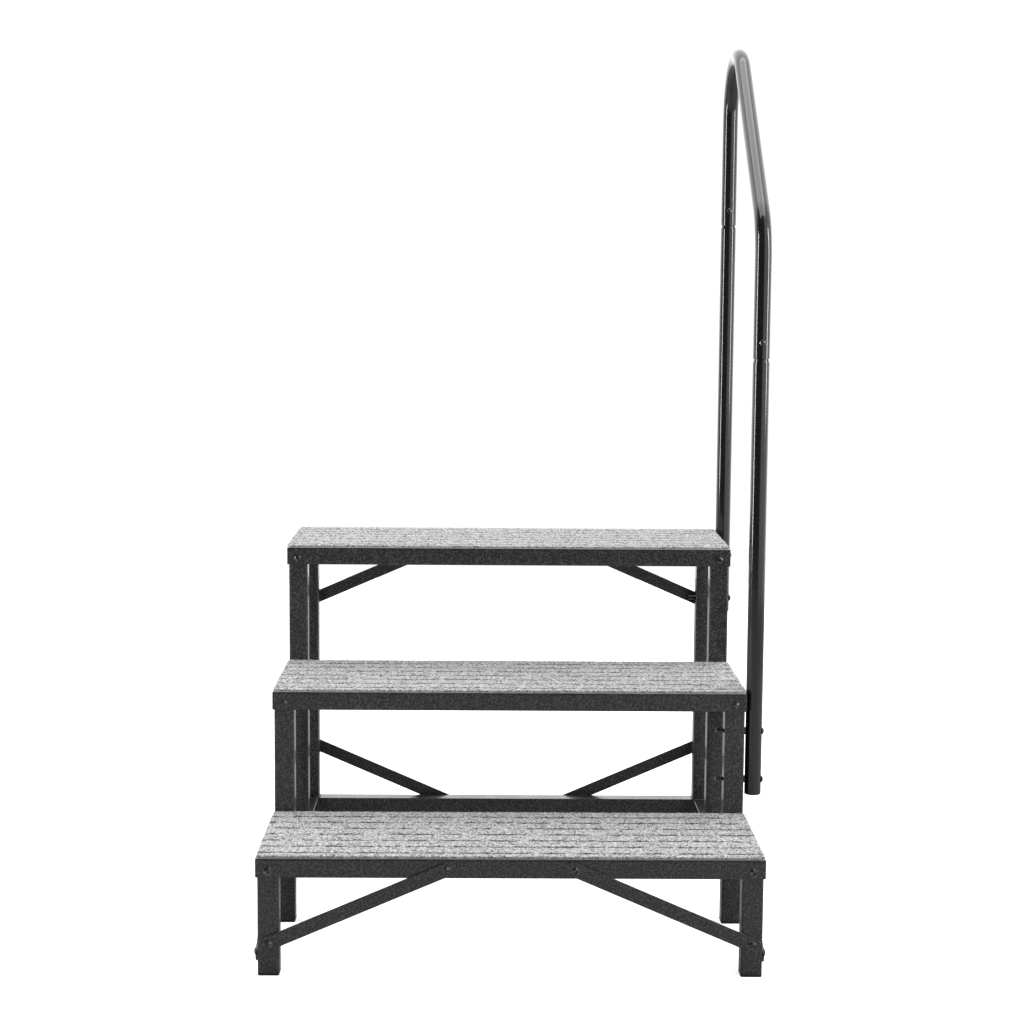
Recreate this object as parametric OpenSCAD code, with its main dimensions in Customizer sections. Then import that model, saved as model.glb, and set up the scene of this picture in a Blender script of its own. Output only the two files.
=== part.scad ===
// Mounting block: three carpeted treads on a bolted steel stand, with a round tube handrail
// on the right-hand side.
// X runs left to right, Y from the first riser to the back, Z up from the floor.
// The origin is on the floor, under the middle of the whole object.

/* [Treads] */
// Outside width of every tread frame
step_w = 710; // [500:1:900]
// Distance from one riser to the next
step_going = 246; // [200:1:320]
// Height of the first deck above the floor
first_rise = 168; // [140:1:240]
// Height from one deck to the next
step_rise = 186; // [150:1:240]

/* [Tread frames] */
// Height of the angle section that makes the frame
angle_h = 25.5; // [20:0.5:40]
// Width of the angle's top flange
angle_flange = 25.5; // [15:0.5:40]
// Thickness of the angle
frame_t = 2.5; // [2:0.5:4]
// Height of the two cross bars welded under each deck
cross_bar_h = 20; // [12:1:24]
// Thickness of the cross bars
cross_bar_t = 3; // [2:0.5:5]
// Thickness of the deck sheet
deck_t = 1.5; // [1:0.5:3]

/* [Mats] */
// Thickness of the foam underlay
underlay_t = 1.0; // [0.5:0.5:3]
// Thickness of the ribbed carpet
carpet_t = 3.8; // [2:0.2:8]
// How far the carpet stays inside the edge of the deck
mat_inset = 1.75; // [0.5:0.25:6]
// Corner radius of the carpet
mat_corner_r = 4; // [1:1:20]

/* [Legs] */
// Side of the square leg tube
leg_w = 30; // [20:1:40]
// Wall of the leg tube
leg_wall = 1.5; // [1:0.5:3]
// Outer corner radius of the leg tube
leg_corner_r = 3; // [2:0.5:5]
// Height of the foot cap that shows below the leg
foot_h = 4; // [2:1:10]
// Length of the foot cap's plug inside the leg
foot_plug_h = 16; // [8:1:20]

/* [Braces] */
// Width of the flat brace bar
brace_w = 20; // [14:1:26]
// Thickness of the flat brace bar
brace_t = 3; // [2:0.5:5]
// From a brace hole to the rounded end of the bar
brace_end = 14.5; // [12:0.5:20]
// Distance of the brace holes in aprons and rail from the middle of the step
brace_hole_x = 90; // [60:1:140]
// Height that the front and rear braces climb between their holes
brace_climb = 107; // [90:1:125]
// Height of the side brace's lower hole above the floor
side_brace_z = 31; // [28:1:36]

/* [Floor rails] */
// Height of the top of the floor rails
rail_top = 77; // [70:1:110]
// Both flanges of the side rails' angle, and the height of the rear rail's tube
rail_flange = 28; // [20:1:32]
// Wall of the rear rail's tube
rear_rail_wall = 1.5; // [1:0.5:3]
// How far the rear rail's front stays behind the front of the rear legs
rear_rail_step = 2; // [0:0.5:4]
// From the top of the rear rail down to its brace holes
rail_hole_drop = 15; // [10:1:18]

/* [Handrail] */
// Outside diameter of the handrail tube
tube_d = 25; // [20:0.5:32]
// Wall of the handrail tube
tube_wall = 1.5; // [1:0.5:3]
// Gap between the front tread frame's side and the handrail tube
tube_gap = 0.3; // [0.2:0.1:2]
// Height of the front post's end above the first deck
front_post_foot = 30; // [15:1:80]
// Height of the rear post's end above the second deck
rear_post_foot = 51; // [15:1:80]
// Length of the lower posts, from the end cap to the shoulder
post_len = 650; // [540:1:800]
// Height of a post's lower bolt above its end
post_bolt_low = 23; // [16:1:40]
// Distance between the two bolts of a post
post_bolt_gap = 74; // [50:1:90]
// Height of the shoulder where a lower post is necked down
shoulder_h = 6; // [3:1:10]
// Length of the neck inside the upper tube
neck_len = 60; // [45:1:100]
// Height of the splice screws above the shoulder
splice_screw_up = 24; // [14:1:36]
// Height of the front corner of the upper tube above the shoulder
front_corner_up = 191; // [150:1:260]
// Bend radius of the upper tube at its middle line
bend_r = 98; // [60:1:105]
// Height of the rounded cap that closes a post's lower end
post_cap_h = 3; // [2:0.5:6]

/* [Fasteners] */
// Shank diameter of the bolts
bolt_d = 6; // [5:0.5:8]
// Flange diameter of the flanged button heads
head_flange_d = 13.6; // [12:0.2:15]
// Diameter of the domed part of the heads
head_dome_d = 11; // [9:0.2:12]
// Height of the button heads
head_h = 3.3; // [2.5:0.1:4.5]
// Across flats of the hex socket
socket_af = 4; // [3:0.5:4.5]
// Length of the short bolts
bolt_len = 12; // [10:1:14]
// How far the long post bolts stand out of the leg's inner side
post_bolt_tip = 11.7; // [6:0.1:16]
// Across flats of the nuts
nut_af = 10; // [9:0.5:12]
// Height of the nuts
nut_h = 5; // [4:0.5:6]
// Height of the corner bolts below the deck
corner_bolt_drop = 17; // [14:0.5:19]
// Shank diameter of the splice screws
screw_d = 5; // [4:0.5:6]

/* [Hidden] */
$fn = 64;

steel = "#2b2c2e";
tube_steel = "#1d1e20";
zinc_black = "#151617";
carpet_grey = "#a9aaac";
underlay_grey = "#d8d8d6";
cap_black = "#18191a";

slip = 0.2;                                // clearance between sliding or bored pieces
past = 1;                                  // how far a cut runs past a face
frame_depth = step_going + frame_t;        // the back flange lies against the next legs
tube_r = tube_d / 2;
hole_r = bolt_d / 2 + slip;

// Heights of tread number i, counted from 0
function deck_top(i) = first_rise + i * step_rise;
function frame_top(i) = deck_top(i) - deck_t;
function frame_foot(i) = frame_top(i) - angle_h;
function frame_middle(i) = frame_top(i) - angle_h / 2;
function corner_bolt_z(i) = deck_top(i) - corner_bolt_drop;

// Legs stand inside the corners of the frames, under the top flange
leg_outer_x = step_w / 2 - frame_t;
leg_x = leg_outer_x - leg_w / 2;
leg_inner_x = leg_outer_x - leg_w;
leg_half = leg_w / 2;
back_y = 3 * step_going + frame_t;         // back face of the top frame
rear_leg_back_y = back_y - frame_t;
// Row 0 carries the front of the first tread, row 3 the back of the third
function leg_row_y(row) = row < 3 ? row * step_going + frame_t + leg_half : rear_leg_back_y - leg_half;
function leg_row_top(row) = frame_top(min(row, 2)) - frame_t;

// Sloping braces: run is level, climb is upright
brace_run = leg_x - brace_hole_x;
brace_pitch = norm([brace_run, brace_climb]);
brace_angle = atan2(brace_climb, brace_run);
// A brace from an apron to a leg leans in by the apron's thickness: it touches the apron's
// lower edge and, with its far end, the leg
lean_contact = (angle_h / 2 + brace_w / 2 * cos(brace_angle)) / sin(brace_angle);
lean_reach = brace_pitch + brace_end;
lean_gap = frame_t * lean_contact / (lean_reach - lean_contact);
lean_angle = asin((lean_gap + frame_t) / lean_reach);
front_brace_leg_z = frame_middle(0) - brace_climb;
rear_brace_leg_z = frame_middle(2) - brace_climb;
rail_hole_z = rail_top - rail_hole_drop;

// The side brace ends on the middle leg, just below the first frame's side: its upper edge
// clears the side flange where it leaves the flange's far end
side_run = step_going;
side_clear = 2.7;
side_edge_z = frame_foot(0) - side_clear;
side_slope = atan2(side_edge_z - brace_w / 2 - side_brace_z, side_run);
side_brace_top_z = side_edge_z - brace_w / 2 / cos(side_slope) + leg_half * tan(side_slope);
side_climb = side_brace_top_z - side_brace_z;
side_pitch = norm([side_run, side_climb]);
side_angle = atan2(side_climb, side_run);

// Handrail, in the plane X = post_x
post_x = step_w / 2 + tube_gap + tube_r;
front_post_y = leg_row_y(1);
rear_post_y = leg_row_y(3);
front_post_z = deck_top(0) + front_post_foot;
rear_post_z = deck_top(1) + rear_post_foot;
tube_bore_r = tube_r - tube_wall;
neck_r = tube_bore_r - slip;
front_shoulder_z = front_post_z + post_len;
rear_shoulder_z = rear_post_z + post_len;
seat_gap = 0.3;                            // play between the shoulder and the upper tube
front_tube_z = front_shoulder_z + shoulder_h + seat_gap;
rear_tube_z = rear_shoulder_z + shoulder_h + seat_gap;
front_corner_z = front_shoulder_z + shoulder_h + front_corner_up;
// The grip climbs at 41.22 degrees, close to the slope of the treads: its run and its climb
// for each unit of its length
grip_run = 0.752192;
grip_climb = 0.658944;
grip_angle = atan2(grip_climb, grip_run);
wedge_reach = 250;                         // past the outer side of the widest bend
front_tangent = bend_r * tan((90 - grip_angle) / 2);
rear_tangent = bend_r * tan((90 + grip_angle) / 2);
front_rise = front_corner_z - front_tangent - front_tube_z;
grip_len = (rear_post_y - front_post_y) / grip_run - front_tangent - rear_tangent;
rear_corner_z = front_corner_z + (rear_post_y - front_post_y) * grip_climb / grip_run;
rear_drop = rear_corner_z - rear_tangent - rear_tube_z;
post_bolt_len = post_x + tube_r - leg_inner_x + post_bolt_tip;
function post_bolt_zs(foot_z) = [for (k = [0, 1]) foot_z + post_bolt_low + k * post_bolt_gap];

// Middle of the whole object, from the outermost bolt heads
left_reach = leg_outer_x + brace_t + head_h;
right_reach = post_x + tube_r + head_h;
mid_x = (right_reach - left_reach) / 2;
mid_y = back_y / 2;

// Puts a piece drawn from the step's own corner into the object's frame
module place() {
    translate([-mid_x, -mid_y, 0])
        children();
}

// side is 1 for the right-hand piece and -1 for its mirror image on the left
module on_side(side) {
    mirror([side < 0 ? 1 : 0, 0, 0])
        children();
}

// ---- directions in which a fastener's head can face ----
module head_to_front() {
    rotate([90, 0, 0])
        children();
}

module head_to_back() {
    rotate([-90, 0, 0])
        children();
}

module head_to_outside() {
    rotate([0, 90, 0])
        children();
}

// Draws in the side plane: X becomes the step's Y, Y its Z, and Z its X
module in_side_plane() {
    rotate([90, 0, 90])
        children();
}

// ---- tread frames ----
module angle_ring() {
    difference() {
        translate([-step_w / 2, 0, -angle_h])
            cube([step_w, frame_depth, angle_h]);
        translate([-step_w / 2 + frame_t, frame_t, -angle_h - past])
            cube([step_w - 2 * frame_t, frame_depth - 2 * frame_t, angle_h - frame_t + past]);
        translate([-step_w / 2 + angle_flange, angle_flange, -angle_h])
            cube([step_w - 2 * angle_flange, frame_depth - 2 * angle_flange, angle_h + past]);
    }
}

module cross_bars() {
    for (side = [-1, 1])
        translate([side * step_w / 6 - cross_bar_t / 2, frame_t / 2, -cross_bar_h])
            cube([cross_bar_t, frame_depth - frame_t, cross_bar_h]);
}

// A row of two holes, the same distance left and right of the middle
module flange_holes(x, y, z) {
    for (side = [-1, 1])
        translate([side * x, y + frame_t + past, z])
            head_to_front()
                cylinder(h = frame_t + 2 * past, r = hole_r);
}

module step_frame(i) {
    back_flange_y = frame_depth - frame_t;
    color(steel)
        place()
            difference() {
                translate([0, i * step_going, frame_top(i)])
                    union() {
                        angle_ring();
                        cross_bars();
                    }
                flange_holes(leg_x, i * step_going, corner_bolt_z(i));
                if (i == 0)
                    flange_holes(brace_hole_x, 0, frame_middle(0));
                if (i < 2)
                    flange_holes(leg_x, i * step_going + back_flange_y, frame_middle(i));
                if (i == 2) {
                    flange_holes(leg_x, back_y - frame_t, corner_bolt_z(2));
                    flange_holes(brace_hole_x, back_y - frame_t, frame_middle(2));
                }
            }
}

module step_deck(i) {
    color(steel)
        place()
            translate([-step_w / 2, i * step_going, frame_top(i)])
                cube([step_w, frame_depth, deck_t]);
}

// ---- mats ----
module mat_sheet(inset, corner_r, thickness) {
    w = step_w - 2 * inset;
    d = frame_depth - 2 * inset;
    translate([0, frame_depth / 2, 0])
        linear_extrude(thickness)
            union() {
                square([w - 2 * corner_r, d], center = true);
                square([w, d - 2 * corner_r], center = true);
                for (sx = [-1, 1], sy = [-1, 1])
                    translate([sx * (w / 2 - corner_r), sy * (d / 2 - corner_r)])
                        circle(r = corner_r);
            }
}

module step_underlay(i) {
    color(underlay_grey)
        place()
            translate([0, i * step_going, deck_top(i)])
                mat_sheet(mat_inset, mat_corner_r, underlay_t);
}

module step_carpet(i) {
    color(carpet_grey)
        place()
            translate([0, i * step_going, deck_top(i) + underlay_t])
                mat_sheet(mat_inset, mat_corner_r, carpet_t);
}

// ---- legs and feet ----
module rounded_square(w, r) {
    union() {
        square([w - 2 * r, w], center = true);
        square([w, w - 2 * r], center = true);
        for (sx = [-1, 1], sy = [-1, 1])
            translate([sx * (w / 2 - r), sy * (w / 2 - r)])
                circle(r = r);
    }
}

leg_bore_w = leg_w - 2 * leg_wall;
leg_bore_r = leg_corner_r - leg_wall;

// Heights of the holes in a leg's front, back and outer wall, and right through it sideways
function front_hole_zs(row) =
    row == 0 ? [corner_bolt_z(0), front_brace_leg_z] :
    row < 3 ? [corner_bolt_z(row), frame_middle(row - 1)] : [];
function back_hole_zs(row) =
    row == 3 ? [corner_bolt_z(2), rear_brace_leg_z, rail_hole_z + brace_climb] : [];
function outer_hole_zs(row) =
    row == 0 ? [side_brace_z] : row == 1 ? [side_brace_top_z] : [];
function through_hole_zs(row, side) =
    side < 0 ? [] : row == 1 ? post_bolt_zs(front_post_z) : row == 3 ? post_bolt_zs(rear_post_z) : [];

module leg(row, side) {
    color(steel)
        place()
            on_side(side)
                translate([leg_x, leg_row_y(row), 0])
                    difference() {
                        translate([0, 0, foot_h])
                            linear_extrude(leg_row_top(row) - foot_h)
                                difference() {
                                    rounded_square(leg_w, leg_corner_r);
                                    rounded_square(leg_bore_w, leg_bore_r);
                                }
                        for (z = front_hole_zs(row))
                            translate([0, 0, z])
                                head_to_front()
                                    cylinder(h = leg_w, r = hole_r);
                        for (z = back_hole_zs(row))
                            translate([0, 0, z])
                                head_to_back()
                                    cylinder(h = leg_w, r = hole_r);
                        for (z = outer_hole_zs(row))
                            translate([0, 0, z])
                                head_to_outside()
                                    cylinder(h = leg_w, r = hole_r);
                        for (z = through_hole_zs(row, side))
                            translate([-leg_w, 0, z])
                                head_to_outside()
                                    cylinder(h = 2 * leg_w, r = hole_r);
                    }
}

// A plastic cap: a plate the size of the leg, and a hollow plug that grips its bore
module foot(row, side) {
    plug_w = leg_bore_w - slip;
    plug_wall = 2.5;
    color(cap_black)
        place()
            on_side(side)
                translate([leg_x, leg_row_y(row), 0])
                    difference() {
                        union() {
                            linear_extrude(foot_h)
                                rounded_square(leg_w, leg_corner_r);
                            linear_extrude(foot_h + foot_plug_h)
                                rounded_square(plug_w, leg_bore_r);
                        }
                        translate([0, 0, foot_h])
                            linear_extrude(foot_plug_h + past)
                                square(plug_w - 2 * plug_wall, center = true);
                    }
}

// ---- braces ----
// Flat bar from its first hole at the origin to its second hole at [pitch, 0, 0]
module brace_bar(pitch) {
    end_r = brace_w / 2;
    end_x = brace_end - end_r;
    linear_extrude(brace_t)
        difference() {
            union() {
                translate([-end_x, -end_r])
                    square([pitch + 2 * end_x, brace_w]);
                for (x = [-end_x, pitch + end_x])
                    translate([x, 0])
                        circle(r = end_r);
            }
            for (x = [0, pitch])
                translate([x, 0])
                    circle(r = hole_r);
        }
}

// Right-hand brace frames: the bar lies on local Z = 0 and its heads face local +Z
module front_brace_frame(side) {
    on_side(side)
        translate([brace_hole_x, 0, frame_middle(0)])
            rotate([90, 0, 0])
                rotate([0, 0, -brace_angle])
                    translate([0, 0, lean_gap])
                        rotate([0, lean_angle, 0])
                            children();
}

// The same lean as at the front, turned to face the back of the top frame
module rear_upper_brace_frame(side) {
    translate([0, back_y, frame_middle(2) - frame_middle(0)])
        mirror([0, 1, 0])
            front_brace_frame(side)
                children();
}

module rear_lower_brace_frame(side) {
    on_side(side)
        translate([brace_hole_x, rear_leg_back_y, rail_hole_z])
            mirror([0, 1, 0])
                rotate([90, 0, 0])
                    rotate([0, 0, brace_angle])
                        children();
}

module side_brace_frame(side) {
    on_side(side)
        translate([leg_outer_x, leg_row_y(0), side_brace_z])
            in_side_plane()
                rotate([0, 0, side_angle])
                    children();
}

module front_brace(side) {
    color(steel)
        place()
            front_brace_frame(side)
                brace_bar(brace_pitch);
}

module side_brace(side) {
    color(steel)
        place()
            side_brace_frame(side)
                brace_bar(side_pitch);
}

module rear_upper_brace(side) {
    color(steel)
        place()
            rear_upper_brace_frame(side)
                brace_bar(brace_pitch);
}

module rear_lower_brace(side) {
    color(steel)
        place()
            rear_lower_brace_frame(side)
                brace_bar(brace_pitch);
}

// ---- floor rails ----
// Angle of a given length along local X, its upright flange on the local Y = 0 face, for the
// side rails
module rail_angle(length) {
    difference() {
        cube([length, rail_flange, rail_flange]);
        translate([-past, frame_t, -past])
            cube([length + 2 * past, rail_flange, rail_flange - frame_t + past]);
    }
}

// Rectangular tube between the rear legs, level with their back; its nuts are inside
module rear_floor_rail() {
    rail_depth = leg_w - rear_rail_step;
    color(steel)
        place()
            difference() {
                translate([-leg_inner_x, rear_leg_back_y - rail_depth / 2, rail_top - rail_flange / 2])
                    rotate([90, 0, 90])
                        linear_extrude(2 * leg_inner_x)
                            difference() {
                                square([rail_depth, rail_flange], center = true);
                                square([
                                    rail_depth - 2 * rear_rail_wall,
                                    rail_flange - 2 * rear_rail_wall
                                ], center = true);
                            }
                flange_holes(brace_hole_x, rear_leg_back_y - frame_t, rail_hole_z);
            }
}

module side_floor_rail(side) {
    start_y = leg_row_y(2) + leg_half;
    length = leg_row_y(3) - leg_half - start_y;
    color(steel)
        place()
            on_side(side)
                translate([leg_outer_x, start_y, rail_top - rail_flange])
                    rotate([0, 0, 90])
                        rail_angle(length);
}

// ---- handrail ----
// Lower post: a tube whose top end is necked down to slide into the upper tube
module rail_post(foot_z, post_y) {
    start = post_cap_h;
    color(tube_steel)
        place()
            translate([post_x, post_y, foot_z])
                difference() {
                    rotate_extrude()
                        polygon([
                            [tube_bore_r, start],
                            [tube_r, start],
                            [tube_r, post_len],
                            [neck_r, post_len + shoulder_h],
                            [neck_r, post_len + shoulder_h + neck_len],
                            [neck_r - tube_wall, post_len + shoulder_h + neck_len],
                            [neck_r - tube_wall, post_len + shoulder_h],
                            [tube_bore_r, post_len]
                        ]);
                    for (z = post_bolt_zs(0))
                        translate([-tube_d, 0, z])
                            head_to_outside()
                                cylinder(h = 2 * tube_d, r = hole_r);
                    translate([0, 0, post_len + shoulder_h + splice_screw_up])
                        head_to_front()
                            cylinder(h = tube_d, r = screw_d / 2 + slip);
                }
}

module tube_section() {
    difference() {
        circle(r = tube_r);
        circle(r = tube_bore_r);
    }
}

// Straight tube along local X
module straight_run(length) {
    rotate([90, 0, 90])
        linear_extrude(length)
            tube_section();
}

// Tube that starts along local X and bends to the right, until it runs along the grip's
// direction, or down it where climb is negative
module bend_run(climb) {
    translate([0, -bend_r, 0])
        intersection() {
            rotate_extrude()
                translate([bend_r, 0])
                    tube_section();
            translate([0, 0, -tube_d])
                linear_extrude(2 * tube_d)
                    polygon([
                        [0, 0],
                        [0, wedge_reach],
                        [wedge_reach, wedge_reach],
                        wedge_reach * [grip_run, climb]
                    ]);
        }
}

// Stands its children at the far end of such a bend
module after_bend(climb) {
    translate([0, -bend_r, 0])
        rotate([0, 0, atan2(climb, grip_run) - 90])
            translate([0, bend_r, 0])
                children();
}

// The upper tube in the side plane, followed from its front end: up, along the grip and down
module upper_tube() {
    translate([front_post_y, front_tube_z, 0])
        rotate([0, 0, 90]) {
            straight_run(front_rise);
            translate([front_rise, 0, 0]) {
                bend_run(grip_climb);
                after_bend(grip_climb) {
                    straight_run(grip_len);
                    translate([grip_len, 0, 0]) {
                        bend_run(-grip_climb);
                        after_bend(-grip_climb)
                            straight_run(rear_drop);
                    }
                }
            }
        }
}

module handrail_bend() {
    color(tube_steel)
        place()
            difference() {
                translate([post_x, 0, 0])
                    in_side_plane()
                        upper_tube();
                for (p = [[front_post_y, front_shoulder_z], [rear_post_y, rear_shoulder_z]])
                    translate([post_x, p[0], p[1] + shoulder_h + splice_screw_up])
                        head_to_front()
                            cylinder(h = tube_d, r = screw_d / 2 + slip);
            }
}

module post_cap(foot_z, post_y) {
    edge_r = 2;
    plug_h = 12;
    color(cap_black)
        place()
            translate([post_x, post_y, foot_z])
                rotate_extrude()
                    union() {
                        translate([0, edge_r])
                            square([tube_r, post_cap_h - edge_r]);
                        square([tube_r - edge_r, post_cap_h + plug_h]);
                        intersection() {
                            translate([tube_r - edge_r, edge_r])
                                circle(r = edge_r);
                            square([tube_r, edge_r]);
                        }
                    }
}

// Rings that fill the gap between the post and the leg, which is set in by the frame's thickness
module post_spacers() {
    gap = post_x - tube_r - leg_outer_x;
    color(zinc_black)
        place()
            each_post_bolt()
                translate([leg_outer_x, 0, 0])
                    head_to_outside()
                        ring(gap, head_dome_d / 2, hole_r);
}

module ring(h, outer_r, bore_r) {
    difference() {
        cylinder(h = h, r = outer_r);
        translate([0, 0, -past])
            cylinder(h = h + 2 * past, r = bore_r);
    }
}

// ---- fasteners ----
// Height of a dome profile at a given distance from its axis
function dome_z(x, r, h) = let (big_r = (r * r + h * h) / (2 * h)) sqrt(big_r * big_r - x * x) - big_r + h;

// Hex-socket button head on Z = 0 with its shank below; flange_r is 0 for a plain head
module button_bolt(shank_r, shank_len, dome_r, height, flange_r, af) {
    flange_h = flange_r > 0 ? 0.9 : 0;
    rim_h = 0.5;
    socket_depth = height * 0.6;
    steps = 6;
    dome_h = height - flange_h - rim_h;
    difference() {
        union() {
            rotate_extrude()
                polygon([
                    [0, 0],
                    [dome_r, 0],
                    [dome_r, flange_h + rim_h],
                    for (k = [1 : steps])
                        let (x = dome_r * (1 - k / steps))
                            [x, flange_h + rim_h + dome_z(x, dome_r, dome_h)]
                ]);
            if (flange_r > 0)
                cylinder(h = flange_h, r = flange_r);
            translate([0, 0, -shank_len])
                cylinder(h = shank_len, r = shank_r);
        }
        translate([0, 0, height - socket_depth])
            cylinder(h = height, r = af / 2 / cos(30), $fn = 6);
    }
}

module flanged_bolt(shank_len) {
    button_bolt(bolt_d / 2, shank_len, head_dome_d / 2, head_h, head_flange_d / 2, socket_af);
}

// Nut bored a little over the shank, its near face on Z = 0 and its body below
module hex_nut() {
    translate([0, 0, -nut_h])
        difference() {
            cylinder(h = nut_h, r = nut_af / 2 / cos(30), $fn = 6);
            translate([0, 0, -past])
                cylinder(h = nut_h + 2 * past, r = hole_r);
        }
}

// Children stand at each bolt of both handrail posts, on the legs' middle line
module each_post_bolt() {
    for (z = post_bolt_zs(front_post_z))
        translate([0, front_post_y, z])
            children();
    for (z = post_bolt_zs(rear_post_z))
        translate([0, rear_post_y, z])
            children();
}

module corner_bolts() {
    color(zinc_black)
        place()
            for (side = [-1, 1]) {
                for (i = [0 : 2])
                    translate([side * leg_x, i * step_going, corner_bolt_z(i)])
                        head_to_front()
                            flanged_bolt(bolt_len);
                translate([side * leg_x, back_y, corner_bolt_z(2)])
                    head_to_back()
                        flanged_bolt(bolt_len);
            }
}

// Bolts from inside a frame, through its back flange, into the legs behind it
module frame_joining_bolts() {
    color(zinc_black)
        place()
            for (side = [-1, 1], i = [0, 1])
                translate([side * leg_x, (i + 1) * step_going, frame_middle(i)])
                    head_to_front()
                        flanged_bolt(bolt_len);
}

module bolts_at_brace_ends(pitch) {
    for (x = [0, pitch])
        translate([x, 0, brace_t])
            flanged_bolt(bolt_len);
}

module brace_bolts() {
    color(zinc_black)
        place()
            for (side = [-1, 1]) {
                front_brace_frame(side)
                    bolts_at_brace_ends(brace_pitch);
                side_brace_frame(side)
                    bolts_at_brace_ends(side_pitch);
                rear_upper_brace_frame(side)
                    bolts_at_brace_ends(brace_pitch);
                rear_lower_brace_frame(side)
                    bolts_at_brace_ends(brace_pitch);
            }
}

module post_bolts() {
    color(zinc_black)
        place()
            each_post_bolt()
                translate([post_x + tube_r, 0, 0])
                    head_to_outside()
                        button_bolt(bolt_d / 2, post_bolt_len, head_dome_d / 2, head_h, 0, socket_af);
}

module splice_screws() {
    screw_head_d = 9;
    screw_head_h = 2.6;
    screw_len = 12;
    screw_af = 3;
    color(zinc_black)
        place()
            for (p = [[front_post_y, front_shoulder_z], [rear_post_y, rear_shoulder_z]])
                translate([post_x, p[0] - tube_r, p[1] + shoulder_h + splice_screw_up])
                    head_to_front()
                        button_bolt(screw_d / 2, screw_len, screw_head_d / 2, screw_head_h, 0, screw_af);
}

// Nuts welded inside the legs, behind each bolt hole
module leg_nuts() {
    seat = leg_half - leg_wall;
    color(zinc_black)
        place()
            for (side = [-1, 1], row = [0 : 3])
                on_side(side)
                    translate([leg_x, leg_row_y(row), 0]) {
                        for (z = front_hole_zs(row))
                            translate([0, -seat, z])
                                head_to_front()
                                    hex_nut();
                        for (z = back_hole_zs(row))
                            translate([0, seat, z])
                                head_to_back()
                                    hex_nut();
                        for (z = outer_hole_zs(row))
                            translate([seat, 0, z])
                                head_to_outside()
                                    hex_nut();
                    }
}

// Nuts behind the brace holes in the first apron and the top frame's back, and inside the rear
// floor rail
module brace_nuts() {
    color(zinc_black)
        place()
            for (side = [-1, 1]) {
                translate([side * brace_hole_x, frame_t, frame_middle(0)])
                    head_to_front()
                        hex_nut();
                translate([side * brace_hole_x, back_y - frame_t, frame_middle(2)])
                    head_to_back()
                        hex_nut();
                translate([side * brace_hole_x, rear_leg_back_y - rear_rail_wall, rail_hole_z])
                    head_to_back()
                        hex_nut();
            }
}

// Nuts on the long post bolts, against the inside of the leg's inner wall
module post_nuts() {
    color(zinc_black)
        place()
            each_post_bolt()
                translate([leg_inner_x + leg_wall + nut_h, 0, 0])
                    head_to_outside()
                        hex_nut();
}

step_frame(0);  // step1_frame
step_frame(1);  // step2_frame
step_frame(2);  // step3_frame
step_deck(0);  // step1_deck
step_deck(1);  // step2_deck
step_deck(2);  // step3_deck
step_underlay(0);  // step1_underlay
step_underlay(1);  // step2_underlay
step_underlay(2);  // step3_underlay
step_carpet(0);  // step1_carpet
step_carpet(1);  // step2_carpet
step_carpet(2);  // step3_carpet
leg(0, -1);  // front_leg_left
leg(0, 1);  // front_leg_right
leg(1, -1);  // middle_leg_left
leg(1, 1);  // middle_leg_right
leg(2, -1);  // upper_leg_left
leg(2, 1);  // upper_leg_right
leg(3, -1);  // rear_leg_left
leg(3, 1);  // rear_leg_right
foot(0, -1);  // front_foot_left
foot(0, 1);  // front_foot_right
foot(1, -1);  // middle_foot_left
foot(1, 1);  // middle_foot_right
foot(2, -1);  // upper_foot_left
foot(2, 1);  // upper_foot_right
foot(3, -1);  // rear_foot_left
foot(3, 1);  // rear_foot_right
front_brace(-1);  // front_brace_left
front_brace(1);  // front_brace_right
side_brace(-1);  // side_brace_left
side_brace(1);  // side_brace_right
rear_upper_brace(-1);  // rear_upper_brace_left
rear_upper_brace(1);  // rear_upper_brace_right
rear_lower_brace(-1);  // rear_lower_brace_left
rear_lower_brace(1);  // rear_lower_brace_right
rear_floor_rail();
side_floor_rail(-1);  // side_floor_rail_left
side_floor_rail(1);  // side_floor_rail_right
rail_post(front_post_z, front_post_y);  // front_rail_post
rail_post(rear_post_z, rear_post_y);  // rear_rail_post
handrail_bend();
post_cap(front_post_z, front_post_y);  // front_post_cap
post_cap(rear_post_z, rear_post_y);  // rear_post_cap
post_spacers();
corner_bolts();
frame_joining_bolts();
brace_bolts();
post_bolts();
splice_screws();
leg_nuts();
brace_nuts();
post_nuts();
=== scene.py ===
import math
import random

import bmesh
import bpy
from mathutils import Matrix, Vector, noise


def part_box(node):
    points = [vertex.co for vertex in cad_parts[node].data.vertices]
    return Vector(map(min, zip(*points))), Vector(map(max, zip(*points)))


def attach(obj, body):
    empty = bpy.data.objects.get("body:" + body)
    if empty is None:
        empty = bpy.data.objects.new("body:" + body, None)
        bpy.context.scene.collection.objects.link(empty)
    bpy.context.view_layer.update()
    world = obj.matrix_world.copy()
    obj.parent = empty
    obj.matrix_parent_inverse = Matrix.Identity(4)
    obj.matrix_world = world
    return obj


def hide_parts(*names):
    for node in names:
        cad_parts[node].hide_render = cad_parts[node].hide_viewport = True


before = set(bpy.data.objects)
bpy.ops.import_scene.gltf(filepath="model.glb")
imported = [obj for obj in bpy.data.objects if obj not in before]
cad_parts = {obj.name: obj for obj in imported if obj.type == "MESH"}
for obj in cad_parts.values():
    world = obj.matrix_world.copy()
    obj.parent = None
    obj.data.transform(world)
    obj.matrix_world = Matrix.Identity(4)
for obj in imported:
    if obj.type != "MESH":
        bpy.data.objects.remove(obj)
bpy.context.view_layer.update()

MM = 0.001


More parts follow.
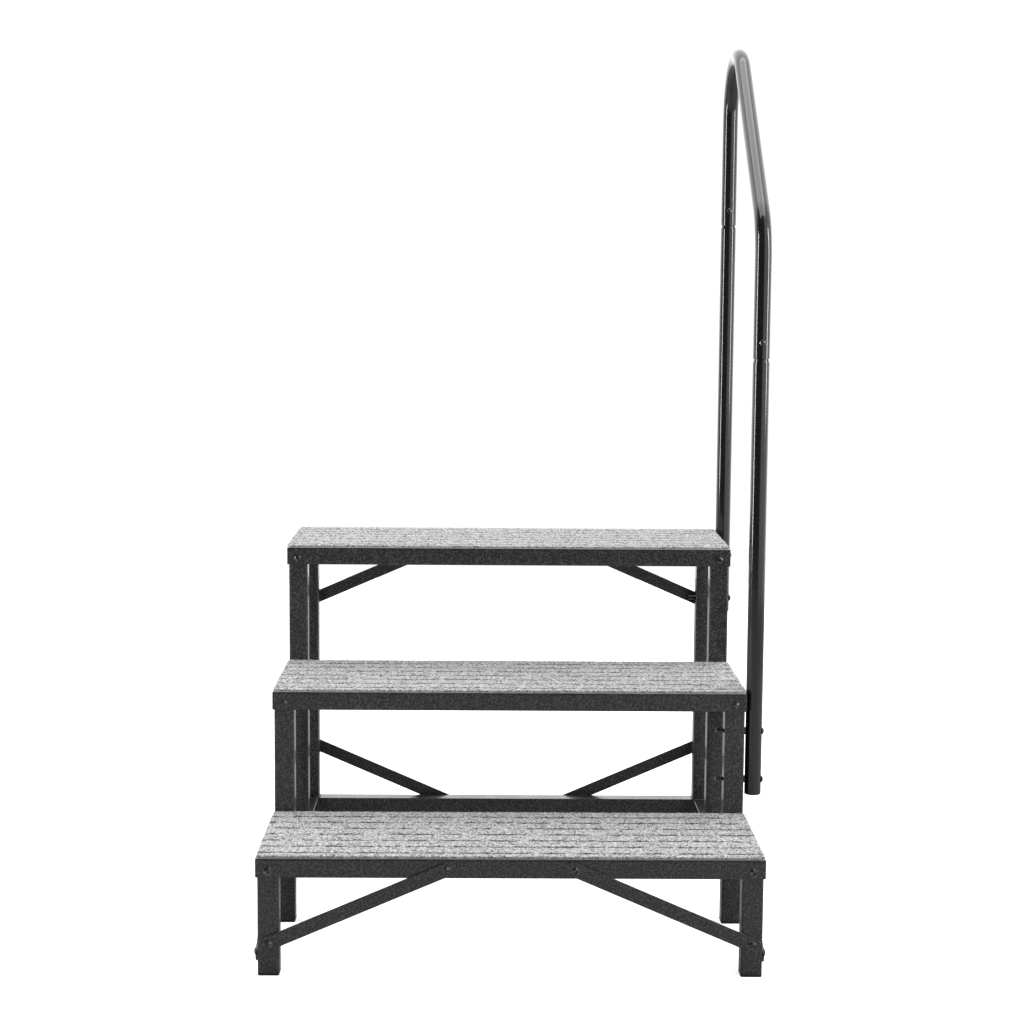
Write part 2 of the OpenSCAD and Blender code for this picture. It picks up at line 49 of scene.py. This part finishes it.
# ---- Legs ----
# Eight square steel tubes, cut to length and sprayed with a black hammered powder coat. The
# coat is slightly glossy: it shows every side light along the tube and mirrors at a low angle.
def add_node(tree, kind, values=None, **settings):
    """A shader node, its settings, and its inputs as plain values or other nodes' outputs."""
    node = tree.nodes.new(kind)
    for name, setting in settings.items():
        setattr(node, name, setting)
    for socket, value in (values or {}).items():
        if isinstance(value, bpy.types.NodeSocket):
            tree.links.new(value, node.inputs[socket])
        else:
            node.inputs[socket].default_value = value
    return node


def grey(value):
    """A neutral colour."""
    return (value, value, value, 1.0)


def ramp_between(tree, value, low, high, to_low=0.0, to_high=1.0):
    """Spreads the stretch low to high of a value over to_low to to_high."""
    return add_node(tree, "ShaderNodeMapRange", {
        "Value": value, "From Min": low, "From Max": high,
        "To Min": to_low, "To Max": to_high}).outputs["Result"]


def new_group(name, inputs, outputs):
    """An empty node group; inputs are float sockets with their values, outputs float sockets."""
    group = bpy.data.node_groups.new(name, "ShaderNodeTree")
    for socket, value in inputs.items():
        made = group.interface.new_socket(socket, in_out="INPUT", socket_type="NodeSocketFloat")
        made.default_value = value
    for socket in outputs:
        group.interface.new_socket(socket, in_out="OUTPUT", socket_type="NodeSocketFloat")
    return group, group.nodes.new("NodeGroupInput"), group.nodes.new("NodeGroupOutput")


def make_hammered_coat():
    """Group: the dimpled grain of a hammered powder coat, its cloudy gloss and handling dust."""
    group, given, put_out = new_group(
        "hammered_coat",
        {"Dimple Size": 0.0022, "Grain Size": 0.0007},
        ["Fleck", "Cloud", "Dust", "Height"])
    place = add_node(group, "ShaderNodeTexCoord").outputs["Object"]
    dimple_scale = add_node(
        group, "ShaderNodeMath", {0: 1.0, 1: given.outputs["Dimple Size"]}, operation="DIVIDE")
    grain_scale = add_node(
        group, "ShaderNodeMath", {0: 1.0, 1: given.outputs["Grain Size"]}, operation="DIVIDE")
    dimples = add_node(group, "ShaderNodeTexVoronoi", {
        "Vector": place, "Scale": dimple_scale.outputs[0], "Smoothness": 0.6},
        feature="SMOOTH_F1")
    grain = add_node(group, "ShaderNodeTexNoise", {
        "Vector": place, "Scale": grain_scale.outputs[0], "Detail": 2.0})
    cloud = add_node(group, "ShaderNodeTexNoise", {"Vector": place, "Scale": 22.0, "Detail": 4.0})
    dust = add_node(group, "ShaderNodeTexNoise", {
        "Vector": place, "Scale": 260.0, "Detail": 5.0, "Roughness": 0.7})
    dimple = ramp_between(group, dimples.outputs["Distance"], 0.15, 0.75)
    fleck = add_node(group, "ShaderNodeMath", {
        0: dimple, 1: grain.outputs["Fac"]}, operation="MULTIPLY")
    height = add_node(group, "ShaderNodeMath", {
        0: dimple, 1: ramp_between(group, grain.outputs["Fac"], 0.3, 0.7, 0.0, 0.35)},
        operation="ADD")
    results = {
        "Fleck": ramp_between(group, fleck.outputs[0], 0.2, 0.46),
        "Cloud": ramp_between(group, cloud.outputs["Fac"], 0.35, 0.65),
        "Dust": ramp_between(group, dust.outputs["Fac"], 0.62, 0.75),
        "Height": height.outputs[0]}
    for socket, value in results.items():
        group.links.new(value, put_out.inputs[socket])
    return group


hammered_coat = make_hammered_coat()


def new_material(name):
    """A material with its tree, its Principled shader and nothing else."""
    material = bpy.data.materials.new(name)
    material.use_nodes = True
    return material, material.node_tree, material.node_tree.nodes["Principled BSDF"]


def coat_material(name, dark, light, gloss, dimple, dimple_height, dusty):
    """A powder coat: dark and light greys, (least, most) roughness, dimple size and height, dust."""
    material, tree, shader = new_material(name)
    shader.inputs["Coat Weight"].default_value = 0.5
    shader.inputs["Coat Roughness"].default_value = 0.09
    coat = tree.nodes.new("ShaderNodeGroup")
    coat.node_tree = hammered_coat
    coat.inputs["Dimple Size"].default_value = dimple
    paint = add_node(tree, "ShaderNodeMix", {
        "Factor": coat.outputs["Fleck"], "A": grey(dark), "B": grey(light)}, data_type="RGBA")
    dust_amount = add_node(
        tree, "ShaderNodeMath", {0: coat.outputs["Dust"], 1: dusty}, operation="MULTIPLY")
    colour = add_node(tree, "ShaderNodeMix", {
        "Factor": dust_amount.outputs[0], "A": paint.outputs["Result"], "B": grey(0.20)},
        data_type="RGBA")
    bump = add_node(tree, "ShaderNodeBump", {
        "Strength": 1.0, "Distance": dimple_height, "Height": coat.outputs["Height"]})
    tree.links.new(colour.outputs["Result"], shader.inputs["Base Color"])
    tree.links.new(ramp_between(tree, coat.outputs["Cloud"], 0.0, 1.0, *gloss),
                   shader.inputs["Roughness"])
    tree.links.new(bump.outputs["Normal"], shader.inputs["Normal"])
    return material


powder_coat = coat_material("powder_coat", 0.001, 0.052, (0.28, 0.40), 0.0026, 0.00022, 0.08)


def finish_node(node, material):
    """Gives a CAD node that keeps its own shape its finish."""
    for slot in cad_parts[node].material_slots:
        slot.material = material


ROWS = ("front", "middle", "upper", "rear")
SIDES = ("left", "right")
for row in ROWS:
    for side in SIDES:
        finish_node(f"{row}_leg_{side}", powder_coat)


# ---- Foot caps ----
# Square black nylon caps pressed into the bottom of each leg. Their moulded edges are softly
# rounded, and the plug inside the leg has four walls.
def moulded_plastic(name, dark, light):
    """Black nylon: a fine spark-eroded grain with a slight sheen."""
    material, tree, shader = new_material(name)
    place = add_node(tree, "ShaderNodeTexCoord").outputs["Object"]
    grain = add_node(tree, "ShaderNodeTexNoise", {"Vector": place, "Scale": 2200.0, "Detail": 3.0})
    scuff = add_node(tree, "ShaderNodeTexNoise", {
        "Vector": place, "Scale": 90.0, "Detail": 6.0, "Distortion": 1.2})
    rub = ramp_between(tree, scuff.outputs["Fac"], 0.55, 0.8)
    colour = add_node(
        tree, "ShaderNodeMix", {"Factor": rub, "A": grey(dark), "B": grey(light)},
        data_type="RGBA")
    bump = add_node(tree, "ShaderNodeBump", {
        "Strength": 0.5, "Distance": 0.00005, "Height": grain.outputs["Fac"]})
    tree.links.new(colour.outputs["Result"], shader.inputs["Base Color"])
    tree.links.new(ramp_between(tree, rub, 0.0, 1.0, 0.42, 0.6), shader.inputs["Roughness"])
    tree.links.new(bump.outputs["Normal"], shader.inputs["Normal"])
    return material


cap_nylon = moulded_plastic("cap_nylon", 0.010, 0.030)


def make_piece(name, bm, material, replaced=()):
    """Turns a finished bmesh into a piece of the stand, in place of the CAD nodes it replaces."""
    mesh = bpy.data.meshes.new(name)
    bm.to_mesh(mesh)
    bm.free()
    mesh.materials.append(material)
    piece = bpy.data.objects.new(name, mesh)
    bpy.context.scene.collection.objects.link(piece)
    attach(piece, "root")
    if replaced:
        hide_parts(*replaced)
    return piece


def round_arrises(name, node, radius, material, shortest=0.6 * MM):
    """A copy of a CAD node with its arrises rounded over, apart from edges under a length."""
    bm = bmesh.new()
    bm.from_mesh(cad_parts[node].data)
    bmesh.ops.remove_doubles(bm, verts=bm.verts, dist=1e-6)
    bmesh.ops.dissolve_limit(
        bm, angle_limit=math.radians(0.5), verts=bm.verts, edges=bm.edges)
    arrises = [e for e in bm.edges if e.is_manifold and e.calc_length() > shortest
               and e.calc_face_angle() > math.radians(40)]
    bmesh.ops.bevel(
        bm, geom=arrises, offset=radius, offset_type="OFFSET", affect="EDGES", segments=3,
        profile=0.5, material=-1, clamp_overlap=True)
    for face in bm.faces:
        face.smooth = True
    piece = make_piece(name, bm, material, [node])
    shading = piece.modifiers.new("even shading", "WEIGHTED_NORMAL")
    shading.keep_sharp = False
    return piece


for row in ROWS:
    for side in SIDES:
        round_arrises(f"{row}_cap_{side}", f"{row}_foot_{side}", 0.7 * MM, cap_nylon,
                      0.1 * MM)


# ---- Tread frames and decks ----
# Each tread is a ring of rolled steel angle with two cross bars welded inside it, and a thin
# steel deck on top. The rolled arrises are slightly rounded and the coat runs over them.
for i in (1, 2, 3):
    round_arrises(f"step{i}_angle_frame", f"step{i}_frame", 1.0 * MM, powder_coat)
    round_arrises(f"step{i}_deck_sheet", f"step{i}_deck", 0.35 * MM, powder_coat)


# ---- Welds ----
# Short rippled runs of weld, coated over: at both ends of every cross bar, and where the floor
# rails meet the legs.
def weld_run(start, end, radius):
    """One rippled weld run between two points, tapered to its ends, as a bmesh."""
    start, end = Vector(start), Vector(end)
    along = end - start
    unit = along.normalized()
    rings = max(8, round(along.length / (0.5 * MM)))
    turn = Vector((0, 0, 1)).rotation_difference(unit).to_matrix().to_4x4()
    bm = bmesh.new()
    bmesh.ops.create_cone(
        bm, cap_ends=True, segments=10, radius1=radius, radius2=radius, depth=along.length,
        matrix=Matrix.Translation((start + end) / 2) @ turn)
    long_edges = [e for e in bm.edges
                  if abs((e.verts[0].co - e.verts[1].co).dot(unit)) > along.length / 2]
    bmesh.ops.subdivide_edges(bm, edges=long_edges, cuts=rings)
    for v in bm.verts:
        reach = (v.co - start).dot(unit)
        middle = start + unit * reach
        share = reach / along.length
        wave = 1.0 + 0.12 * math.sin(reach / (1.6 * MM) * math.tau)
        wave += 0.15 * noise.noise(v.co * 350)
        taper = min(1.0, 0.45 + 5 * min(share, 1 - share))
        v.co = middle + (v.co - middle) * wave * taper
    for face in bm.faces:
        face.smooth = True
    return bm


def weld_runs(name, runs, radius):
    """A piece made of weld runs, each a pair of points in metres."""
    whole = bmesh.new()
    run_mesh = bpy.data.meshes.new("weld_run")
    for start, end in runs:
        bm = weld_run(start, end, radius)
        bm.to_mesh(run_mesh)
        bm.free()
        whole.from_mesh(run_mesh)
    bpy.data.meshes.remove(run_mesh)
    return make_piece(name, whole, powder_coat)


FRAME_T = 2.5 * MM
BAR_H = 20 * MM
BAR_T = 3 * MM
BAR_WELD_R = 1.6 * MM
RAIL_WELD_R = 1.7 * MM
WELD_END = 1 * MM
CORNER_STOP = 3 * MM
FACE_WELD_IN = 0.8 * MM
for i in (1, 2, 3):
    low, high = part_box(f"step{i}_frame")
    runs = []
    for third in (-1, 1):
        bar_x = (low.x + high.x) / 2 + third * (high.x - low.x) / 6
        for end_y in (low.y + FRAME_T, high.y - FRAME_T):
            for face_x in (bar_x - BAR_T / 2, bar_x + BAR_T / 2):
                runs.append(((face_x, end_y, high.z - BAR_H + WELD_END),
                             (face_x, end_y, high.z - FRAME_T)))
    weld_runs(f"step{i}_bar_welds", runs, BAR_WELD_R)

low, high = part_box("rear_floor_rail")
runs = []
for end_x in (low.x, high.x):
    runs.append(((end_x, low.y + WELD_END, high.z), (end_x, high.y - CORNER_STOP, high.z)))
    runs.append(((end_x, high.y - FACE_WELD_IN, low.z + WELD_END),
                 (end_x, high.y - FACE_WELD_IN, high.z)))
for side in SIDES:
    low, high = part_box(f"side_floor_rail_{side}")
    outer_x = (low.x + FACE_WELD_IN) if side == "left" else (high.x - FACE_WELD_IN)
    inset = CORNER_STOP if side == "left" else -CORNER_STOP
    across = (low.x, high.x) if side == "left" else (high.x, low.x)
    for end_y in (low.y, high.y):
        runs.append(((across[0] + inset, end_y, high.z), (across[1], end_y, high.z)))
        runs.append(((outer_x, end_y, low.z + WELD_END), (outer_x, end_y, high.z)))
weld_runs("floor_rail_welds", runs, RAIL_WELD_R)


# ---- Underlay ----
# A thin pale foam sheet glued to each deck. Only its cut edge shows, as a light line under the
# carpet, with small pores.
def foam_material():
    """Pale closed-cell foam, its cut edge full of small pores; the sunken ground around the cell
    tops is painted darker as shade, more in some broad patches.
    """
    material, tree, shader = new_material("pale_foam")
    place = add_node(tree, "ShaderNodeTexCoord").outputs["Object"]
    cells = add_node(tree, "ShaderNodeTexVoronoi", {"Vector": place, "Scale": 1700.0})
    pore_shade_patches = add_node(tree, "ShaderNodeTexNoise", {"Vector": place, "Scale": 60.0, "Detail": 4.0})
    pore = ramp_between(tree, cells.outputs["Distance"], 0.2, 0.6)
    # Painted shade: the foam goes from 0.75 down to 0.40 where the pores sink, scaled by a broad
    # noise.
    shade = add_node(tree, "ShaderNodeMath", {0: pore, 1: pore_shade_patches.outputs["Fac"]},
                     operation="MULTIPLY")
    colour = add_node(tree, "ShaderNodeMix", {
        "Factor": shade.outputs[0], "A": grey(0.75), "B": grey(0.40)}, data_type="RGBA")
    bump = add_node(tree, "ShaderNodeBump", {
        "Strength": 0.6, "Distance": 0.0001, "Height": pore}, invert=True)
    tree.links.new(colour.outputs["Result"], shader.inputs["Base Color"])
    tree.links.new(bump.outputs["Normal"], shader.inputs["Normal"])
    shader.inputs["Roughness"].default_value = 0.85
    return material


pale_foam = foam_material()
for i in (1, 2, 3):
    finish_node(f"step{i}_underlay", pale_foam)


# ---- Carpets ----
# Ribbed needle-punched carpet, cut to the tread and glued down. Grey, white and near-black
# fibres are felted together; narrow grooves run from side to side, and loose fibres stand up
# all over it and out of its cut edges.
RIB_PITCH = 33 * MM
GROOVE_DEPTH = 2.1 * MM
GROOVE_HALF = 2.6 * MM
LUMP = 0.7 * MM
CORNER = 4 * MM
PILE_COLUMNS, PILE_ROWS = 280, 196
FIBRE_PATCHES, FIBRES_PER_PATCH = 60, 150


def carpet_material():
    """Heathered fibres: flecks from near white to charcoal, with painted shade down in the grooves.
    """
    material, tree, shader = new_material("ribbed_carpet")
    place = add_node(tree, "ShaderNodeTexCoord").outputs["Object"]
    stretched = add_node(tree, "ShaderNodeMapping", {"Vector": place, "Scale": (1.0, 0.6, 1.0)})
    flecks = add_node(tree, "ShaderNodeTexVoronoi", {
        "Vector": stretched.outputs["Vector"], "Scale": 520.0, "Randomness": 1.0})
    fine = add_node(tree, "ShaderNodeTexNoise", {
        "Vector": stretched.outputs["Vector"], "Scale": 900.0, "Detail": 3.0, "Roughness": 0.65})
    fleck_value = add_node(tree, "ShaderNodeSeparateColor", {
        "Color": flecks.outputs["Color"]}).outputs["Red"]
    blend = add_node(tree, "ShaderNodeMath", {0: fleck_value, 1: 0.78}, operation="MULTIPLY")
    mixed = add_node(tree, "ShaderNodeMath", {
        0: blend.outputs[0],
        1: ramp_between(tree, fine.outputs["Fac"], 0.3, 0.7, 0.0, 0.22)}, operation="ADD")
    shades = add_node(tree, "ShaderNodeValToRGB", {"Fac": mixed.outputs[0]})
    ramp = shades.color_ramp
    ramp.elements[0].position, ramp.elements[0].color = 0.05, grey(0.05)
    ramp.elements[1].position, ramp.elements[1].color = 0.95, grey(0.76)
    for position, value in ((0.20, 0.18), (0.40, 0.38), (0.70, 0.52)):
        ramp.elements.new(position).color = grey(value)
    # Painted shade: down in the grooves the colour is mixed towards near-black, broken into dashes
    # by fine noise.
    groove_shade = add_node(tree, "ShaderNodeAttribute", attribute_name="groove_shade").outputs["Fac"]
    ragged = add_node(tree, "ShaderNodeMath", {
        0: ramp_between(tree, fine.outputs["Fac"], 0.3, 0.7, -0.16, 0.16), 1: groove_shade},
        operation="ADD")
    colour = add_node(tree, "ShaderNodeMix", {
        "Factor": ramp_between(tree, ragged.outputs[0], 0.14, 0.48, 0.0, 0.93),
        "A": shades.outputs["Color"], "B": grey(0.02)}, data_type="RGBA")
    felt = add_node(tree, "ShaderNodeTexNoise", {
        "Vector": place, "Scale": 1300.0, "Detail": 4.0, "Roughness": 0.7, "Distortion": 0.8})
    bump = add_node(tree, "ShaderNodeBump", {
        "Strength": 1.0, "Distance": 0.0006, "Height": felt.outputs["Fac"]})
    tree.links.new(colour.outputs["Result"], shader.inputs["Base Color"])
    tree.links.new(ramp_between(tree, fine.outputs["Fac"], 0.0, 1.0, 0.82, 0.98),
                   shader.inputs["Roughness"])
    tree.links.new(bump.outputs["Normal"], shader.inputs["Normal"])
    shader.inputs["Sheen Weight"].default_value = 0.05
    shader.inputs["Specular IOR Level"].default_value = 0.12
    return material


ribbed_carpet = carpet_material()


def groove_at(x, y, seed):
    """How deep in a groove a point is, from 0 on a rib to 1; each groove fades and wanders."""
    line = round(y / RIB_PITCH - 0.5)
    wander = noise.noise(Vector((x * 9, line * 7.3, seed))) * 1.2 * MM
    wander += noise.noise(Vector((x * 150, line * 4.7, seed + 2))) * 2.2 * MM
    away = y - (line + 0.5) * RIB_PITCH - wander
    strength = 0.66 + 1.1 * noise.noise(Vector((x * 42, line * 3.1, seed + 5)))
    strength += 0.8 * noise.noise(Vector((x * 170, line * 5.9, seed + 7)))
    return max(0.0, min(1.0, strength)) * math.exp(-(away / GROOVE_HALF) ** 2)


def carpet_height(x, y, seed):
    """Height of the pile against the carpet's top plane."""
    lumps = noise.noise(Vector((x * 260, y * 330, seed))) * 0.6
    lumps += noise.noise(Vector((x * 610, y * 700, seed + 9))) * 0.4
    return LUMP * lumps - GROOVE_DEPTH * groove_at(x, y, seed) - 0.25 * MM


def lay_carpet(i):
    """The carpet on tread i: a fine grid lifted to the pile's shape, then closed below."""
    low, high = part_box(f"step{i}_carpet")
    width, depth = high.x - low.x, high.y - low.y
    centre = (low + high) / 2
    bm = bmesh.new()
    groove_shade = bm.verts.layers.float.new("groove_shade")
    bmesh.ops.create_grid(
        bm, x_segments=PILE_COLUMNS, y_segments=PILE_ROWS, size=0.5,
        matrix=(Matrix.Translation((centre.x, centre.y, high.z))
                @ Matrix.Diagonal((width, depth, 1, 1))))
    rim = [e for e in bm.edges if e.is_boundary]
    out = bmesh.ops.extrude_edge_only(bm, edges=rim)["geom"]
    skirt = [v for v in out if isinstance(v, bmesh.types.BMVert)]
    for v in skirt:
        v.co.z = low.z
    bmesh.ops.contextual_create(bm, geom=[e for e in bm.edges if e.is_boundary])
    half = Vector((width / 2 - CORNER, depth / 2 - CORNER))
    for v in bm.verts:
        x, y = v.co.x - centre.x, v.co.y - centre.y
        past = Vector((max(0.0, abs(x) - half.x), max(0.0, abs(y) - half.y)))
        if past.x > 0 and past.y > 0:
            reach = max(past.x, past.y)
            past = past.normalized() * reach
            x, y = math.copysign(half.x + past.x, x), math.copysign(half.y + past.y, y)
            v.co.x, v.co.y = centre.x + x, centre.y + y
        to_edge = min(width / 2 - abs(x), depth / 2 - abs(y))
        if v.co.z > low.z + 1e-6:
            # The groove depth is kept on the mesh so the shader can paint shade in the grooves.
            v[groove_shade] = groove_at(x, y + depth / 2, i)
            v.co.z += carpet_height(x, y + depth / 2, i)
            v.co.z -= 0.8 * MM * math.exp(-to_edge / (1.2 * MM))
        if to_edge < 1e-5:
            ragged = noise.noise(Vector((x * 300, y * 300, i * 5.0 + v.co.z * 300))) * 0.5 * MM
            v.co.x += math.copysign(ragged, x) if abs(x) > half.x else 0
            v.co.y += math.copysign(ragged, y) if abs(y) > half.y else 0
    bmesh.ops.recalc_face_normals(bm, faces=bm.faces)
    for face in bm.faces:
        face.smooth = len(face.verts) == 4
    return make_piece(f"step{i}_ribbed_carpet", bm, ribbed_carpet, [f"step{i}_carpet"])


def add_fibre(bm, root, lean, length, thick):
    """One loose fibre: a three-sided spike from its root along its lean."""
    turn = Vector((0, 0, 1)).rotation_difference(lean.normalized()).to_matrix().to_4x4()
    middle = root + lean.normalized() * length / 2
    bmesh.ops.create_cone(
        bm, cap_ends=True, segments=3, radius1=thick, radius2=thick * 0.4, depth=length,
        matrix=Matrix.Translation(middle) @ turn)


def loose_fibres(i):
    """Loose fibres over tread i's carpet and out of its cut edges, made a patch at a time."""
    low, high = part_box(f"step{i}_carpet")
    width, depth = high.x - low.x, high.y - low.y
    centre = (low + high) / 2
    chance = random.Random(40 + i)
    whole = bmesh.new()
    patch_mesh = bpy.data.meshes.new("patch")
    for _ in range(FIBRE_PATCHES):
        bm = bmesh.new()
        for k in range(FIBRES_PER_PATCH):
            x = chance.uniform(-width / 2, width / 2)
            y = chance.uniform(-depth / 2, depth / 2)
            edge_on = k % 3 == 0
            lean = Vector((chance.gauss(0, 1), chance.gauss(0, 1), 0)).normalized()
            lean.z = chance.uniform(0.1, 0.7)
            z = high.z + carpet_height(x, y + depth / 2, i) - 0.2 * MM
            if edge_on:
                z = chance.uniform(low.z + 0.8 * MM, high.z - 0.6 * MM)
                lean.z = chance.uniform(-0.3, 0.8)
                if chance.random() < width / (width + depth):
                    y = math.copysign(depth / 2 - 0.5 * MM, chance.uniform(-1, 1))
                    lean.y = math.copysign(abs(lean.y) + 0.3, y)
                else:
                    x = math.copysign(width / 2 - 0.5 * MM, chance.uniform(-1, 1))
                    lean.x = math.copysign(abs(lean.x) + 0.3, x)
            add_fibre(bm, Vector((centre.x + x, centre.y + y, z)), lean,
                      chance.uniform(1.2, 3.0) * MM, chance.uniform(0.09, 0.17) * MM)
        bm.to_mesh(patch_mesh)
        bm.free()
        whole.from_mesh(patch_mesh)
    bpy.data.meshes.remove(patch_mesh)
    return make_piece(f"step{i}_loose_fibres", whole, ribbed_carpet)


for i in (1, 2, 3):
    carpet = lay_carpet(i)
    fibres = loose_fibres(i)
    low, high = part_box(f"step{i}_carpet")


# ---- Braces ----
# Eight flat steel bars with rounded ends, bolted on as diagonals: two at the front, one on each
# side at the bottom and four at the back. Same coat as the legs.
for run in ("front", "side", "rear_upper", "rear_lower"):
    for side in SIDES:
        round_arrises(f"{run}_bar_{side}", f"{run}_brace_{side}", 0.6 * MM, powder_coat)


# ---- Floor rails ----
# Just above the floor: a rectangular steel tube welded between the rear legs, and a piece of
# angle on each side between the two rear rows of legs.
for rail in ("rear_floor_rail", "side_floor_rail_left", "side_floor_rail_right"):
    round_arrises(f"{rail}_rounded", rail, 1.1 * MM, powder_coat)


# ---- Handrail ----
# Two straight posts and one bent upper tube of 25 mm steel tube, with a smoother and glossier
# coat than the frames. The posts are necked to slide into the upper tube.
tube_coat = coat_material("tube_coat", 0.005, 0.010, (0.11, 0.16), 0.0036, 0.000022, 0.05)
for node in ("front_rail_post", "rear_rail_post", "handrail_bend"):
    finish_node(node, tube_coat)
for node in ("front_post_cap", "rear_post_cap"):
    finish_node(node, cap_nylon)


# ---- Fasteners ----
# M6 flanged button-head bolts with hex sockets, long button bolts through the posts, two small
# splice screws, nuts and spacers: all steel, zinc plated and passivated black.
def zinc_material():
    """Black passivated zinc: a dark metal with brighter rubbed spots."""
    material, tree, shader = new_material("black_zinc")
    place = add_node(tree, "ShaderNodeTexCoord").outputs["Object"]
    cloud = add_node(tree, "ShaderNodeTexNoise", {"Vector": place, "Scale": 240.0, "Detail": 5.0})
    grain = add_node(tree, "ShaderNodeTexNoise", {"Vector": place, "Scale": 1900.0, "Detail": 2.0})
    rub = ramp_between(tree, cloud.outputs["Fac"], 0.5, 0.75)
    colour = add_node(tree, "ShaderNodeMix", {
        "Factor": rub, "A": grey(0.06), "B": grey(0.28)}, data_type="RGBA")
    bump = add_node(tree, "ShaderNodeBump", {
        "Strength": 0.35, "Distance": 0.00003, "Height": grain.outputs["Fac"]})
    tree.links.new(colour.outputs["Result"], shader.inputs["Base Color"])
    tree.links.new(ramp_between(tree, rub, 0.0, 1.0, 0.12, 0.22), shader.inputs["Roughness"])
    tree.links.new(bump.outputs["Normal"], shader.inputs["Normal"])
    shader.inputs["Metallic"].default_value = 0.8
    return material


black_zinc = zinc_material()
for node in ("corner_bolts", "frame_joining_bolts", "brace_bolts", "post_bolts", "splice_screws",
             "leg_nuts", "brace_nuts", "post_nuts", "post_spacers"):
    finish_node(node, black_zinc)


# ---- Studio ----
# A pale matt floor in a room that is white to look at, with a tall softbox on each side and a
# large one overhead. The camera stands in front, a little above the treads, with a long lens.
FLOOR_RADIUS = 3.6


def studio_floor():
    """A round floor: white and glowing to the camera, a duller grey to what it reflects in."""
    material, tree, shader = new_material("studio_floor")
    place = add_node(tree, "ShaderNodeTexCoord").outputs["Object"]
    mottle = add_node(tree, "ShaderNodeTexNoise", {"Vector": place, "Scale": 3.0, "Detail": 3.0})
    colour = add_node(tree, "ShaderNodeMix", {
        "Factor": mottle.outputs["Fac"], "A": grey(0.86), "B": grey(0.90)}, data_type="RGBA")
    tree.links.new(colour.outputs["Result"], shader.inputs["Base Color"])
    shader.inputs["Roughness"].default_value = 0.9
    shader.inputs["Specular IOR Level"].default_value = 0.1
    glow = add_node(tree, "ShaderNodeEmission", {"Color": grey(1.0), "Strength": 0.75})
    bright = add_node(tree, "ShaderNodeAddShader", {0: shader.outputs[0], 1: glow.outputs[0]})
    dull = add_node(tree, "ShaderNodeBsdfDiffuse", {"Color": grey(0.40)})
    seen = add_node(tree, "ShaderNodeMixShader", {
        "Fac": add_node(tree, "ShaderNodeLightPath").outputs["Is Camera Ray"],
        1: dull.outputs[0], 2: bright.outputs[0]})
    tree.links.new(seen.outputs[0], tree.nodes["Material Output"].inputs["Surface"])
    bm = bmesh.new()
    bmesh.ops.create_circle(bm, cap_ends=True, segments=96, radius=FLOOR_RADIUS)
    mesh = bpy.data.meshes.new("floor")
    bm.to_mesh(mesh)
    bm.free()
    mesh.materials.append(material)
    floor = bpy.data.objects.new("floor", mesh)
    bpy.context.scene.collection.objects.link(floor)


studio_floor()


def studio_room():
    """The room: white to look at; it lights from behind and from the right, less from the left."""
    world = bpy.data.worlds.new("studio_room")
    bpy.context.scene.world = world
    world.use_nodes = True
    tree = world.node_tree
    shown = tree.nodes["Background"]
    shown.inputs["Color"].default_value = grey(1.0)
    shown.inputs["Strength"].default_value = 1.05
    ways = add_node(tree, "ShaderNodeSeparateXYZ", {
        "Vector": add_node(tree, "ShaderNodeTexCoord").outputs["Generated"]})
    in_front = ramp_between(tree, ways.outputs["X"], 0.08, 0.32, 0.10, 1.1)
    level = add_node(tree, "ShaderNodeMix", {
        "Factor": ramp_between(tree, ways.outputs["Y"], 0.05, 0.45), "A": in_front, "B": 1.5},
        data_type="FLOAT")
    lit = add_node(tree, "ShaderNodeBackground", {
        "Color": grey(1.0), "Strength": level.outputs["Result"]})
    seen = add_node(tree, "ShaderNodeMixShader", {
        "Fac": add_node(tree, "ShaderNodeLightPath").outputs["Is Camera Ray"]})
    tree.links.new(lit.outputs[0], seen.inputs[1])
    tree.links.new(shown.outputs[0], seen.inputs[2])
    tree.links.new(seen.outputs[0], tree.nodes["World Output"].inputs["Surface"])


studio_room()


def softbox(name, place, aim, width, height, watts):
    """A rectangular area light at place, turned to face aim."""
    light = bpy.data.lights.new(name, "AREA")
    light.shape = "RECTANGLE"
    light.size, light.size_y = width, height
    light.energy = watts
    lamp = bpy.data.objects.new(name, light)
    lamp.location = place
    lamp.rotation_euler = (Vector(aim) - Vector(place)).to_track_quat("-Z", "Y").to_euler()
    bpy.context.scene.collection.objects.link(lamp)


softbox("softbox_left", (-2.4, -0.45, 1.25), (0.3, -0.1, 1.0), 0.40, 2.1, 42)
softbox("softbox_right", (2.5, -0.75, 1.55), (0.3, -0.1, 1.1), 0.34, 1.9, 30)
softbox("softbox_top", (0.0, 0.3, 5.0), (0.0, 0.1, 0.0), 4.2, 3.4, 116)

camera = bpy.data.cameras.new("camera")
camera.sensor_width = 36.0
camera.lens = 73.875
camera.shift_y = 0.00886
camera.clip_end = 200.0
eye = bpy.data.objects.new("camera", camera)
EYE_PLACE = (-0.04995, -3.21285, 0.96614)
EYE_YAW, EYE_PITCH, EYE_ROLL = 0.0125, 0.1139, 0.0073
eye.matrix_world = (
    Matrix.Translation(EYE_PLACE)
    @ Matrix.Rotation(-EYE_YAW, 4, "Z")
    @ Matrix.Rotation(math.pi / 2 - EYE_PITCH, 4, "X")
    @ Matrix.Rotation(EYE_ROLL, 4, "Z"))
bpy.context.scene.collection.objects.link(eye)
bpy.context.scene.camera = eye
bpy.context.scene.view_settings.view_transform = "Standard"
